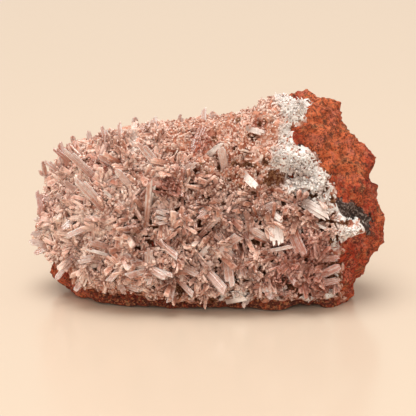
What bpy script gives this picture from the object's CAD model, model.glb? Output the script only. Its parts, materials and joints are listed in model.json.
"""A barite specimen: a crust of pink and white bladed crystals on a lump of rust-red rock."""

import json
import logging
import math
from collections.abc import Sequence
from dataclasses import dataclass
from enum import Enum

import bmesh
import bpy
import numpy as np
from mathutils import Matrix, noise, Quaternion, Vector
from mathutils.bvhtree import BVHTree

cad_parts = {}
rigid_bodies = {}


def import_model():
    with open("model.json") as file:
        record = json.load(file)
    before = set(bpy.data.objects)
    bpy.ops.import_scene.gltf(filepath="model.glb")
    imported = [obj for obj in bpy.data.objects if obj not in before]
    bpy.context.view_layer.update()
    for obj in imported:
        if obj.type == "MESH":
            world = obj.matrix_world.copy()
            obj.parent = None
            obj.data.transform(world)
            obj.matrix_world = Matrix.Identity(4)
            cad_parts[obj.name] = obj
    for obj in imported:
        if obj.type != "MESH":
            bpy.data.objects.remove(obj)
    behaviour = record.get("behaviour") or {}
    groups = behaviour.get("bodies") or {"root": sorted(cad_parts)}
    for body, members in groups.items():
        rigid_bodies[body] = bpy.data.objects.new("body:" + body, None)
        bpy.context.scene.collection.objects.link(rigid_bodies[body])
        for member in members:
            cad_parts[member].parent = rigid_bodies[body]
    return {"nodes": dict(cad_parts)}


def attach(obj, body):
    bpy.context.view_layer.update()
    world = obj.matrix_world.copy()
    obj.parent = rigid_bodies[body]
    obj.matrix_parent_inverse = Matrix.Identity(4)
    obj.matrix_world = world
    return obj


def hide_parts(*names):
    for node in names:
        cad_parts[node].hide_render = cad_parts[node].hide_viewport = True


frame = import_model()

log = logging.getLogger("specimen")

MM = 0.001
BODY = "root"
ROCK = "matrix_rock"
CRUST = "crystal_crust"
MERGE_M = 1e-6

Colour = tuple[float, float, float]
Place = tuple[float, float]
Spot = tuple[float, float, float]
Stop = tuple[float, float]
Mesh = bpy.types.Mesh
Piece = bpy.types.Object
Material = bpy.types.Material
Node = bpy.types.Node
Socket = bpy.types.NodeSocket


def srgb(red: int, green: int, blue: int) -> Colour:
    """A colour given from 0 to 255 in each share, as linear light from 0 to 1."""
    shares = [c / 255 for c in (red, green, blue)]
    return tuple(c / 12.92 if c < 0.04045 else ((c + 0.055) / 1.055) ** 2.4 for c in shares)


# --- Where things grow ---


@dataclass(frozen=True)
class LayoutPlane:
    """A plane tipped back in front of the specimen, on which places are given in mm.

    A place drops onto the rock along the line from an eye point in front of the plane.
    """

    tilt: float = math.radians(15)
    centre_mm: tuple[float, float, float] = (0.0, 0.0, 31.5)
    eye_mm: float = 520.0

    @property
    def centre(self) -> Vector:
        """The plane's middle, in metres."""
        return Vector(self.centre_mm) * MM

    @property
    def across(self) -> Vector:
        """The plane's direction to the right."""
        return Vector((1, 0, 0))

    @property
    def up(self) -> Vector:
        """The plane's upward direction."""
        return Vector((0, math.sin(self.tilt), math.cos(self.tilt)))

    @property
    def out(self) -> Vector:
        """The direction from the plane towards the eye."""
        return Vector((0, -math.cos(self.tilt), math.sin(self.tilt)))

    @property
    def eye(self) -> Vector:
        """The eye point."""
        return self.centre + self.out * self.eye_mm * MM

    def place(self, u: float, v: float) -> Vector:
        """The point, in metres, that lies u mm to the right of the middle and v mm above it."""
        return self.centre + self.across * u * MM + self.up * v * MM

    def seen_at(self, points: np.ndarray) -> np.ndarray:
        """Where points show on the plane.

        Args:
            points: One row of x, y and z in metres for each point.

        Returns:
            One row of u and v in millimetres for each point.
        """
        away = points / MM - np.array(self.centre_mm)
        scale = self.eye_mm / (self.eye_mm - away @ np.array(self.out))
        flat = np.stack([away @ np.array(self.across), away @ np.array(self.up)], axis=1)
        return flat * scale[:, None]


def inside(outline: Sequence[Place], places: np.ndarray) -> np.ndarray:
    """The signed distance of places from a closed outline.

    Args:
        outline: The outline's corners.
        places: One row of u and v for each place.

    Returns:
        The distance in the outline's own units, positive inside.
    """
    nearest = np.full(len(places), np.inf)
    within = np.zeros(len(places), bool)
    corners = np.array(outline)
    for (x1, y1), (x2, y2) in zip(corners, np.roll(corners, -1, axis=0)):
        run, rise = x2 - x1, y2 - y1
        u, v = places[:, 0] - x1, places[:, 1] - y1
        t = np.clip((u * run + v * rise) / (run * run + rise * rise), 0, 1)
        nearest = np.minimum(nearest, np.hypot(u - t * run, v - t * rise))
        crosses = (v < 0) != (places[:, 1] < y2)
        with np.errstate(divide="ignore", invalid="ignore"):
            within ^= crosses & (u < np.where(rise == 0, 0, run * v / (rise or 1)))
    return np.where(within, nearest, -nearest)


def smoothstep(values: np.ndarray, low: float, high: float) -> np.ndarray:
    """A smooth rise from 0 at low to 1 at high."""
    t = np.clip((values - low) / (high - low), 0, 1)
    return t * t * (3 - 2 * t)


@dataclass(frozen=True)
class Ripple:
    """Smooth noise with lumps of one size, up to about its height either way."""

    size_mm: float
    seed: float
    height: float = 1.0

    def at(self, points: np.ndarray) -> np.ndarray:
        """Its value at each point, given as rows of x, y and z in metres."""
        moved = points / (self.size_mm * MM) + self.seed
        return self.height * np.array([noise.noise(Vector(p)) for p in moved])


def rippled(points: np.ndarray, ripples: Sequence[Ripple],
            base: np.ndarray | float = 0.0) -> np.ndarray:
    """Several ripples on top of each other and of a base, at each point."""
    return sum((ripple.at(points) for ripple in ripples), start=base)


class Zone(Enum):
    """The parts of the crust that differ in their blades.

    Each value is the name of the zone's patch in the map, and of its number on the mesh.
    """

    WHITE = "white"
    RED = "red"
    PALE = "pale"
    FINE = "fine"
    LOOSE = "loose"
    PIT = "pit"


@dataclass(frozen=True)
class Patch:
    """Where a zone lies: an outline and round spots, each u, v and reach, all in mm.

    A place belongs to the outline fully where it is `soft[1]` inside it, and not at all
    where it is less than `soft[0]` inside. A spot fades between its two shares of the reach.
    """

    outline: tuple[Place, ...] = ()
    spots: tuple[Spot, ...] = ()
    soft: tuple[float, float] = (-1.5, 1.5)
    spot_unevenness: float = 0.6
    spot_fade: tuple[float, float] = (0.5, 1.2)

    def share(self, places: np.ndarray, uneven: np.ndarray) -> np.ndarray:
        """How much places belong to the zone.

        Args:
            places: One row of u and v for each place.
            uneven: What blurs the edges, in mm for each place.

        Returns:
            A share from 0 to 1 for each place.
        """
        share = np.zeros(len(places))
        if self.outline:
            share = smoothstep(inside(self.outline, places) + uneven, *self.soft)
        full, none = self.spot_fade
        for u, v, reach in self.spots:
            away = np.hypot(places[:, 0] - u, places[:, 1] - v) + self.spot_unevenness * uneven
            share = np.maximum(share, 1 - smoothstep(away, reach * full, reach * none))
        return share


@dataclass(frozen=True)
class CrustMap:
    """Which parts of the rock have crystals, and of which kind. Places are in mm.

    `edge` is where the crust ends on the rock, and `reach` is the outline that no blade
    passes, seen from the eye point. Hollows come from the pit patch and from noise, more
    of them in the loose zone and fewer in the fine one, and none at the back.
    """

    plane: LayoutPlane = LayoutPlane()
    edge: tuple[Place, ...] = (
        (48.2, -33.0), (48.6, -24.2), (49.6, -20.6), (47.4, -18.5), (48.8, -16.4), (46.8, -14.5),
        (49.5, -11.7), (53.5, -11), (57, -7.5), (55.5, -5.0), (49.0, -4.6), (46.0, -0.6),
        (45.5, 7.5), (43, 13), (38.5, 18), (33.5, 20.5), (31, 25), (33.5, 28.5),
        (37, 34), (37, 38.5), (31, 41), (24, 47), (0, 52), (-40, 50), (-80, 40),
        (-80, -10), (-58.4, -17.4), (-54.4, -20.3), (-48.8, -22.4), (-47.3, -24.9),
        (-49.5, -27.4), (-45.2, -29.2), (-38.1, -30.2), (-30, -31), (-22, -32), (-12, -34),
        (10, -34), (30, -34),
    )
    reach: tuple[Place, ...] = (
        (-62.6, -11.7), (-60.6, -6.4), (-60.3, 0.7), (-59.2, 6.0), (-57.2, 14.9),
        (-54.1, 17.8), (-52.3, 22.1), (-48.8, 23.1), (-43.4, 24.6), (-38.1, 26.3),
        (-35.9, 28.1), (-31.7, 27.4), (-26.3, 28.5), (-25.3, 31.3), (-20.3, 30.6),
        (-14.9, 31.0), (-6.0, 31.7), (-0.7, 34.0), (4.6, 33.0), (10.0, 34.5),
        (15.3, 37.2), (19.6, 39.2), (22.4, 41.2), (27.8, 41.0), (35.2, 41.8), (60, 44),
        (68, -40), (40, -36.8), (-12, -36.5), (-28, -33.2), (-37, -31.8), (-45.5, -30.5),
        (-51.5, -27.8), (-53.2, -23.4), (-56.5, -20.0), (-59.4, -16.0),
    )
    white: Patch = Patch(
        (
            (45.0, -3.5), (47.5, -11.5), (53.5, -12.5), (59, -6.5), (56.0, -1.5),
            (48.5, -1.5), (47.0, 4), (43, 14), (36, 22),
            (32, 26), (40, 36), (36, 44), (24, 43), (27, 32), (25.5, 23), (20.5, 14),
            (22, 9.5), (29, 6), (35, 1.5), (40, -4),
        ),
        (
            (45.9, -13.0, 2.2), (46.4, -19.9, 2.2), (45.0, -23.5, 2.0), (4.8, -31.0, 2.2),
            (11.0, -31.8, 2.6), (36.7, -31.6, 2.2), (14.5, -31.0, 2.2), (-25.5, 23.0, 2.0),
            (26.0, -31.2, 1.8), (44.0, -30.8, 2.2),
        ),
    )
    red: Patch = Patch(
        ((24, -8), (38, -6), (49, -12), (50, -33), (22, -34), (21, -20)),
        (
            (-50.0, 18.0, 4.0), (-37.0, 14.0, 4.0), (-58.0, -1.0, 4.0), (-2.0, 23.0, 5.0),
            (18.0, 29.0, 3.0), (33.0, 3.0, 3.0), (-14.0, 8.0, 5.0),
        ),
        (-3, 5),
    )
    pale: Patch = Patch(
        (),
        (
            (-57, -8, 7), (-52, -22, 7), (-25, 24, 6), (-48, 5, 8), (12, -28, 8),
            (-42, -8, 9), (-44, -18, 7), (22, 30, 8), (-30, 4, 6), (-4, -22, 8),
            (8, 2, 7), (-12, -1, 6), (-44, -26, 6), (9, 20, 7), (17, 14, 6), (5, 11, 5),
        ),
    )
    fine: Patch = Patch(
        (
            (-14.9, 31.7), (0, 50), (19.6, 52), (29.5, 48), (38, 29.2), (30, 12.5),
            (27.8, 4.3), (17.1, 0.7), (2.8, 7.8), (-6.0, 14.9), (-14.9, 20.3),
        ),
        (),
        (-3, 3),
    )
    pit: Patch = Patch(
        (),
        (
            (-37.0, 11.7, 1.8), (-42.7, 17.8, 1.6), (-38.4, -21.7, 2.0), (-18.5, -1.1, 2.0),
            (-24.9, -4.3, 1.7), (-21.4, -10.7, 1.8), (-24.6, -14.6, 1.6), (-18.1, -7.5, 1.8),
            (-12.5, -10.7, 1.6), (11.4, 30.6, 1.8), (18.5, 28.8, 1.4), (3.2, 23.8, 1.7),
            (16.4, 24.6, 1.3), (20.6, 16.4, 1.4), (24.9, 10.3, 4.2), (22.8, 9.0, 3.0),
            (31.3, 3.6, 1.5), (34.2, 3.6, 1.5), (37.0, 3.9, 1.5), (39.9, 3.9, 1.4),
            (29.8, 11.0, 1.6), (-14.6, 2.5, 1.4), (-18.1, 4.6, 1.3), (-3.6, 24.6, 1.6),
            (-34.5, 1.1, 1.1), (11.0, -13.0, 1.5), (21.0, -20.0, 1.6), (29.0, -28.0, 1.5),
            (-7.0, -13.0, 1.5), (1.0, 4.0, 1.5),
        ),
    )
    loose: Patch = Patch(
        (
            (-26, 8), (-16, 9), (0, 16), (10, 20), (19, 15), (22, 7), (46, 0), (47, -30),
            (8, -33), (-20, -30), (-26, -12),
        ),
        (),
        (-3, 3),
    )
    zone_ripple: Ripple = Ripple(4, 3.3, 2.2)
    edge_ripples: tuple[Ripple, ...] = (Ripple(5, 11.3, 1.4), Ripple(2.2, 4.9, 1.3))
    back_ripple: Ripple = Ripple(11, 6.1, 5.0)
    hollow_ripple: Ripple = Ripple(2.4, 7.7)
    hollow_share: tuple[float, float] = (0.26, 0.44)
    loose_gain: float = 0.28
    fine_loss: float = 0.15
    fine_fill: float = 0.3
    wrap_back_mm: tuple[float, float] = (16.0, 5.0)
    wrap_from_to_mm: tuple[float, float] = (-6.0, 14.0)
    foot_draw_mm: float = 16.0
    foot_height_mm: tuple[float, float] = (5.0, 20.0)
    pit_back_mm: tuple[float, float] = (2.0, 8.0)

    def depth(self, points: np.ndarray) -> np.ndarray:
        """How far points of the rock lie inside the crust, in mm, negative outside.

        Args:
            points: One row of x, y and z in metres for each point.

        Returns:
            One distance for each point.
        """
        share = smoothstep(points[:, 0] / MM, *self.wrap_from_to_mm)
        left, right = self.wrap_back_mm
        reach = left + (right - left) * share - points[:, 1] / MM
        reach -= self.foot_draw_mm * (1 - smoothstep(points[:, 2] / MM, *self.foot_height_mm))
        reach += self.back_ripple.at(points)
        shown = inside(self.edge, self.plane.seen_at(points))
        return rippled(points, self.edge_ripples, np.minimum(shown, reach))

    def share(self, zone: Zone, points: np.ndarray) -> np.ndarray:
        """How much points belong to a zone.

        Args:
            zone: The zone.
            points: One row of x, y and z in metres for each point.

        Returns:
            A share from 0 to 1 for each point.
        """
        places = self.plane.seen_at(points)
        patch: Patch = getattr(self, zone.value)
        share = patch.share(places, self.zone_ripple.at(points))
        if zone is Zone.PIT:
            even = np.zeros(len(points))
            fine = self.fine.share(places, even)
            hollows = self.hollow_ripple.at(points)
            hollows += self.loose_gain * self.loose.share(places, even)
            hollows -= self.fine_loss * fine
            share = np.maximum(share, smoothstep(hollows, *self.hollow_share))
            share *= 1 - self.fine_fill * fine
            share *= 1 - smoothstep(points[:, 1] / MM, *self.pit_back_mm)
        return share


# --- Finishes ---


class NodeGraph:
    """A short way to lay nodes and links in a material's or a modifier's tree."""

    def __init__(self, tree: bpy.types.NodeTree) -> None:
        """Starts on a tree.

        Args:
            tree: The tree that the nodes go into.
        """
        self.tree = tree

    def plug(self, node: Node, name: str | int, value: object) -> None:
        """Links a socket to a node's input, or gives the input a plain value.

        Args:
            node: The node.
            name: The input, by name or number.
            value: A socket or a value. A colour may be three numbers.
        """
        socket = node.inputs[name]
        if isinstance(value, Socket):
            self.tree.links.new(value, socket)
        elif socket.type == "RGBA":
            socket.default_value = (*value[:3], 1)
        else:
            socket.default_value = value

    def add(self, kind: str, inputs: dict | None = None, **settings: object) -> Node:
        """Adds a node.

        Args:
            kind: The node's type.
            inputs: What goes into its sockets, by name or number: values or other sockets.
            **settings: The node's own properties.

        Returns:
            The node.
        """
        node = self.tree.nodes.new(kind)
        for name, value in settings.items():
            setattr(node, name, value)
        for name, value in (inputs or {}).items():
            self.plug(node, name, value)
        return node

    def result(self, kind: str, inputs: dict | None = None, **settings: object) -> Socket:
        """Adds a node, as `add` does, and gives its first output."""
        return self.add(kind, inputs, **settings).outputs[0]

    def math(self, operation: str, *values: object) -> Socket:
        """The result of a Math node's operation on numbers or sockets."""
        return self.result("ShaderNodeMath", dict(enumerate(values)), operation=operation)

    def vector(self, operation: str, *values: object) -> Socket:
        """The first result of a Vector Math node's operation on vectors or sockets."""
        return self.result("ShaderNodeVectorMath", dict(enumerate(values)), operation=operation)

    def times(self, first: object, second: object) -> Socket:
        """The product of two numbers."""
        return self.math("MULTIPLY", first, second)

    def off_middle(self, number: Socket) -> Socket:
        """How far a number is from a half, either way."""
        return self.math("ABSOLUTE", self.math("SUBTRACT", number, 0.5))

    def mix(self, share: object, first: object, second: object) -> Socket:
        """A mix of two colours or sockets, with the second one's share."""
        inputs = {0: share, 6: first, 7: second}
        return self.add("ShaderNodeMix", inputs, data_type="RGBA").outputs[2]

    def ramp(self, number: Socket, low: Stop, high: Stop) -> Socket:
        """A number that follows another between two stops.

        Args:
            number: The number that it follows.
            low: Where the first stop is and the number there, both from 0 to 1.
            high: The same for the second stop.

        Returns:
            The number's socket.
        """
        node = self.add("ShaderNodeValToRGB", {0: number})
        for element, (position, level) in zip(node.color_ramp.elements, (low, high)):
            element.position = position
            element.color = (level, level, level, 1)
        return node.outputs[0]

    def paint(self, ground: object, *layers: tuple[Socket, Stop, Stop, object]) -> Socket:
        """Lays colours over each other.

        Args:
            ground: The colour under them.
            *layers: For each a number, the two stops that make it a share, and the colour.

        Returns:
            The colour's socket.
        """
        for number, low, high, colour in layers:
            ground = self.mix(self.ramp(number, low, high), ground, colour)
        return ground

    def speckle(self, scale: float, detail: float = 2.0, rough: float = 0.5,
                where: Socket | None = None) -> Socket:
        """Noise over the object.

        Args:
            scale: Its fineness, per metre.
            detail: Its octaves.
            rough: How strong the finer octaves are.
            where: Coordinates in place of the object's own.

        Returns:
            The noise's number, from 0 to 1.
        """
        where = where or self.add("ShaderNodeTexCoord").outputs["Object"]
        inputs = {"Vector": where, "Scale": scale, "Detail": detail, "Roughness": rough}
        return self.result("ShaderNodeTexNoise", inputs)

    def cells(self, scale: float) -> Socket:
        """A cellular pattern over the object.

        Args:
            scale: Its fineness, per metre.

        Returns:
            One random number from 0 to 1 for each of its grains.
        """
        where = self.add("ShaderNodeTexCoord").outputs["Object"]
        node = self.add("ShaderNodeTexVoronoi", {"Vector": where, "Scale": scale})
        return self.result("ShaderNodeSeparateColor", {0: node.outputs["Color"]})

    def value(self, name: str) -> Socket:
        """A number stored on the mesh."""
        return self.add("ShaderNodeAttribute", attribute_name=name).outputs["Fac"]

    def finish(self, shader: Node, colour: Socket, height: Socket, bump_m: float,
               values: dict[str, object]) -> None:
        """Sets what a Principled shader shows.

        Args:
            shader: The shader.
            colour: Its colour.
            height: The height of its fine relief.
            bump_m: How high that relief stands, in metres.
            values: Plain values for its other inputs, by name.
        """
        bump = self.result("ShaderNodeBump", {"Height": height, "Distance": bump_m})
        for name, value in {"Base Color": colour, "Normal": bump, **values}.items():
            self.plug(shader, name, value)


def new_material(name: str) -> tuple[Material, NodeGraph, Node]:
    """A material with only a Principled shader.

    Args:
        name: The material's name.

    Returns:
        The material, its graph and the shader.
    """
    material = bpy.data.materials.new(name)
    material.use_nodes = True
    shader = material.node_tree.nodes["Principled BSDF"]
    return material, NodeGraph(material.node_tree), shader


@dataclass(frozen=True)
class RustRockFinish:
    """Earthy iron-oxide rock: rust red and orange, with ochre, brown and black spots."""

    red: Colour = srgb(216, 76, 44)
    orange: Colour = srgb(255, 130, 78)
    salmon: Colour = srgb(240, 132, 104)
    brown: Colour = srgb(88, 30, 18)
    seam: Colour = srgb(52, 22, 16)
    soil: Colour = srgb(78, 34, 22)
    ochre: Colour = srgb(236, 164, 112)
    black: Colour = srgb(52, 44, 40)
    grey: Colour = srgb(176, 160, 150)
    roughness: float = 0.92
    grain_bump_m: float = 0.002
    fresh_gain: float = 0.32
    coat_break: float = 2.4

    def material(self) -> Material:
        """Makes the finish.

        Returns:
            The material.
        """
        material, graph, shader = new_material("rust_rock")
        fresh = graph.times(graph.value("fresh"), self.fresh_gain)
        bright = graph.math("ADD", graph.speckle(110, 4, 0.6), fresh)
        patches = graph.speckle(190, 4, 0.6)
        grains = graph.cells(1300)
        hollows = graph.speckle(380, 6, 0.7)
        pits = graph.speckle(900, 5, 0.75)
        seams = graph.off_middle(graph.speckle(240, 5, 0.65))
        soiled = graph.times(graph.value("soil"), graph.speckle(520, 6, 0.75))
        dirt = graph.paint(self.soil, (graph.cells(1700), (0.74, 0), (0.9, 0.8), self.ochre))
        spots = graph.speckle(310, 3, 0.6)
        broken = graph.times(graph.speckle(800, 6, 0.8), self.coat_break)
        coated = graph.math("SUBTRACT", graph.math("ADD", graph.value("coating"), broken),
                            self.coat_break / 2)
        coating = graph.paint(self.black, (graph.cells(1500), (0.6, 0), (0.95, 0.8), self.grey))
        colour = graph.paint(
            self.red,
            (bright, (0.4, 0), (0.68, 1), self.orange),
            (patches, (0.52, 0), (0.62, 0.8), self.salmon),
            (patches, (0.34, 0.7), (0.42, 0), self.ochre),
            (grains, (0.0, 0.5), (0.3, 0), self.brown),
            (grains, (0.75, 0), (1.0, 0.5), self.ochre),
            (hollows, (0.38, 0.75), (0.48, 0), self.brown),
            (pits, (0.35, 1), (0.45, 0), self.brown),
            (seams, (0.005, 0.8), (0.02, 0), self.seam),
            (soiled, (0.34, 0), (0.54, 0.85), dirt),
            (spots, (0.66, 0), (0.74, 0.6), self.ochre),
            (coated, (0.45, 0), (0.62, 0.95), coating),
        )
        height = graph.math("ADD", graph.speckle(1100, 6, 0.75),
                            graph.times(graph.speckle(420, 4), 2.0))
        graph.finish(shader, colour, height, self.grain_bump_m, {"Roughness": self.roughness})
        return material


@dataclass(frozen=True)
class BedFinish:
    """The sugary base of the crust: grains of crystal, with dark gaps and hollows."""

    pink: Colour = srgb(216, 152, 126)
    pale: Colour = srgb(240, 206, 190)
    brown: Colour = srgb(140, 72, 50)
    pit: Colour = srgb(92, 46, 26)
    grit: Colour = srgb(176, 130, 96)
    red: Colour = srgb(160, 68, 48)
    white: Colour = srgb(255, 252, 248)
    roughness: float = 0.35
    shine: float = 0.12
    grain_bump_m: float = 0.0006
    gap_shift: float = 0.05
    red_share: float = 0.6

    def material(self) -> Material:
        """Makes the finish.

        Returns:
            The material.
        """
        material, graph, shader = new_material("crust_bed")
        grains = graph.cells(950)
        gaps = graph.times(graph.value("loose"), self.gap_shift)
        mottle = graph.math("SUBTRACT", graph.speckle(420, 5, 0.7), gaps)
        colour = graph.paint(self.brown, (mottle, (0.36, 0), (0.52, 1), self.pink))
        colour = graph.mix(graph.times(graph.value("red"), self.red_share), colour, self.red)
        colour = graph.paint(colour, (grains, (0.55, 0), (0.95, 0.9), self.pale))
        bright = graph.times(graph.value("white"), graph.ramp(grains, (0.16, 0), (0.42, 1)))
        colour = graph.mix(bright, colour, self.white)
        grit = graph.speckle(1100, 5, 0.75)
        hollow = graph.paint(self.pit, (grit, (0.48, 0), (0.6, 0.8), self.grit))
        rubble = graph.times(graph.math("SUBTRACT", graph.speckle(700, 5, 0.7), 0.45), 2.0)
        hollowed = graph.math("ADD", graph.value("pit"), rubble)
        colour = graph.paint(
            colour,
            (grains, (0.0, 0.8), (0.2, 0), self.brown),
            (hollowed, (0.3, 0), (0.7, 1), hollow),
        )
        height = graph.math("ADD", graph.speckle(900, 5, 0.7), grains)
        graph.finish(shader, colour, height, self.grain_bump_m,
                     {"Roughness": self.roughness, "Specular IOR Level": self.shine})
        return material


@dataclass(frozen=True)
class BladeFinish:
    """Vitreous crystal blades: striated lengthwise, with pale ridges and brown roots.

    `streak_fineness` is counted across the blade and `veil_fineness` per metre. `gap_shift`
    is how much more the brown spreads in the loose zone.
    """

    name: str = "pink_blades"
    dark: Colour = srgb(216, 144, 116)
    deep: Colour = srgb(236, 170, 144)
    light: Colour = srgb(247, 194, 172)
    clear: Colour = srgb(253, 232, 220)
    white: Colour = srgb(255, 253, 250)
    red: Colour = srgb(178, 84, 66)
    root: Colour = srgb(112, 52, 30)
    root_share: float = 0.6
    tip_from: float = 0.8
    tip_share: float = 0.5
    ridge_share: float = 0.5
    core_share: float = 0.4
    streak_share: float = 0.5
    streak_fineness: float = 14.0
    veil_share: float = 0.43
    veil_fineness: float = 900.0
    transmission: float = 0.06
    roughness: float = 0.18
    ior: float = 1.64
    glow_share: float = 0.5
    glow_depth_m: float = 0.0005
    glow_reach: Colour = (1.0, 0.86, 0.8)
    clump_share: float = 0.58
    gap_shift: float = 0.055
    shine: float = 0.3
    gleam: float = 0.25
    gleam_roughness: float = 0.06
    absorption: float = 0.0
    absorbed: Colour = (0.95, 0.72, 0.62)
    red_share: float = 0.6
    pale_gain: float = 0.55
    streak_run: tuple[float, float, float] = (1.0, 0.06, 1.0)
    streak_step: float = 37.0
    streak_bump_m: float = 0.00006

    def material(self) -> Material:
        """Makes the finish.

        Returns:
            The material.
        """
        material, graph, shader = new_material(self.name)
        uv = graph.result("ShaderNodeUVMap", uv_map="blade")
        across, along = graph.add("ShaderNodeSeparateXYZ", {0: uv}).outputs[:2]
        tint = graph.value("tint")
        colour = graph.paint(
            self.dark,
            (tint, (0.0, 0), (0.4, 1), self.deep),
            (tint, (0.35, 0), (0.8, 1), self.light),
            (graph.off_middle(across), (0.04, self.core_share), (0.24, 0), self.dark),
        )
        colour = graph.mix(self.pale_share(graph, across, along, tint), colour, self.clear)
        colour = graph.mix(graph.times(graph.value("red"), self.red_share), colour, self.red)
        colour = graph.mix(graph.value("white"), colour, self.white)
        streaks = self.streaks(graph, uv, tint)
        gaps = graph.times(graph.value("loose"), self.gap_shift)
        veils = graph.math("SUBTRACT", graph.speckle(self.veil_fineness, 4, 0.65), gaps)
        clumps = graph.math("SUBTRACT", graph.speckle(150, 3, 0.6), gaps)
        colour = graph.paint(
            colour,
            (streaks, (0.5, 0), (0.66, self.streak_share), self.clear),
            (veils, (0.36, self.veil_share), (0.49, 0), self.root),
            (veils, (0.56, 0), (0.68, 0.6), self.clear),
            (clumps, (0.36, self.clump_share), (0.5, 0), self.root),
            (clumps, (0.5, 0), (0.66, self.clump_share), self.clear),
            (along, (0.2, self.root_share), (0.58, 0), self.root),
        )
        graph.finish(shader, colour, streaks, self.streak_bump_m, {
            "Roughness": self.roughness, "IOR": self.ior, "Specular IOR Level": self.shine,
            "Coat Weight": self.gleam, "Coat Roughness": self.gleam_roughness,
            "Transmission Weight": self.transmission, "Subsurface Weight": self.glow_share,
            "Subsurface Radius": self.glow_reach, "Subsurface Scale": self.glow_depth_m,
        })
        if self.absorption:
            soak = graph.result("ShaderNodeVolumeAbsorption",
                                {"Color": self.absorbed, "Density": self.absorption})
            graph.plug(graph.tree.get_output_node("ALL"), "Volume", soak)
        return material

    def streaks(self, graph: NodeGraph, uv: Socket, tint: Socket) -> Socket:
        """Noise drawn out along a blade, in another place of it for each blade.

        Args:
            graph: The material's graph.
            uv: The place on the blade, across it and along it.
            tint: The blade's own random number.

        Returns:
            The noise's number, from 0 to 1.
        """
        place = graph.vector("MULTIPLY", uv, self.streak_run)
        offset = graph.result("ShaderNodeCombineXYZ", {2: graph.times(tint, self.streak_step)})
        where = graph.vector("ADD", place, offset)
        return graph.speckle(self.streak_fineness, 3, 0.6, where)

    def pale_share(self, graph: NodeGraph, across: Socket, along: Socket,
                   tint: Socket) -> Socket:
        """How pale a blade is: along its ridges, at its tip, and all over where it is clear.

        Args:
            graph: The material's graph.
            across: The place across the blade, from 0 to 1.
            along: The place along it, from 0 at its root.
            tint: The blade's own random number.

        Returns:
            The share's socket.
        """
        ridge = graph.ramp(graph.off_middle(across), (0.26, 0), (0.36, self.ridge_share))
        tip = graph.ramp(along, (self.tip_from, 0), (0.98, self.tip_share))
        shine = graph.ramp(tint, (0.92, 0), (0.95, 0.8))
        own = graph.math("MAXIMUM", graph.math("MAXIMUM", ridge, tip), shine)
        zone = graph.times(graph.value("pale"), self.pale_gain)
        return graph.math("MAXIMUM", own, zone)


@dataclass(frozen=True)
class PlainFinish:
    """A plain finish for the floor."""

    name: str
    colour: Colour
    roughness: float
    gloss: float

    def material(self) -> Material:
        """Makes the finish.

        Returns:
            The material.
        """
        material, graph, shader = new_material(self.name)
        graph.plug(shader, "Base Color", self.colour)
        graph.plug(shader, "Roughness", self.roughness)
        graph.plug(shader, "Specular IOR Level", self.gloss)
        return material


# --- Mesh helpers ---


def new_object(name: str, mesh: Mesh) -> Piece:
    """Puts a mesh in the scene at the origin.

    Args:
        name: The object's name.
        mesh: Its mesh.

    Returns:
        The object.
    """
    thing = bpy.data.objects.new(name, mesh)
    bpy.context.scene.collection.objects.link(thing)
    return thing


def evaluated_mesh(thing: Piece) -> Mesh:
    """An object's mesh with its modifiers applied.

    Args:
        thing: The object.

    Returns:
        A new mesh.
    """
    bpy.context.view_layer.update()
    graph = bpy.context.evaluated_depsgraph_get()
    return bpy.data.meshes.new_from_object(
        thing.evaluated_get(graph), preserve_all_data_layers=True, depsgraph=graph
    )


def rows(data: bpy.types.bpy_prop_collection, name: str) -> np.ndarray:
    """Three numbers from each element of a mesh's data.

    Args:
        data: The elements, such as the mesh's vertices.
        name: The property that is read.

    Returns:
        One row for each element.
    """
    values = np.empty(len(data) * 3)
    data.foreach_get(name, values)
    return values.reshape(-1, 3)


def move_points(mesh: Mesh, points: np.ndarray) -> None:
    """Moves a mesh's vertices to points, one row of x, y and z for each."""
    mesh.vertices.foreach_set("co", points.ravel())


def store(mesh: Mesh, name: str, values: np.ndarray) -> None:
    """Keeps one number on each of a mesh's vertices, as an attribute of that name."""
    layer = mesh.attributes.new(name, "FLOAT", "POINT")
    layer.data.foreach_set("value", np.asarray(values, np.float32))


def shade_smooth(mesh: Mesh, smooth: bool = True) -> None:
    """Sets a mesh's faces smooth or flat."""
    mesh.polygons.foreach_set("use_smooth", [smooth] * len(mesh.polygons))


def dress(mesh: Mesh, material: Material) -> None:
    """Leaves a mesh with one material, on all of its faces."""
    mesh.materials.clear()
    mesh.materials.append(material)


def smoothed_copy(node: str, levels: int) -> Mesh:
    """A CAD node's surface, merged and smoothed by subdivision.

    Args:
        node: The node's name.
        levels: The subdivision steps.

    Returns:
        The new mesh.
    """
    mesh = frame["nodes"][node].data.copy()
    work = bmesh.new()
    work.from_mesh(mesh)
    bmesh.ops.remove_doubles(work, verts=work.verts, dist=MERGE_M)
    work.to_mesh(mesh)
    work.free()
    thing = new_object("work_copy", mesh)
    finer = thing.modifiers.new("finer", "SUBSURF")
    finer.levels = finer.render_levels = levels
    finer.boundary_smooth = "PRESERVE_CORNERS"
    made = evaluated_mesh(thing)
    bpy.data.objects.remove(thing)
    made.materials.clear()
    return made


# --- The rock ---


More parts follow.
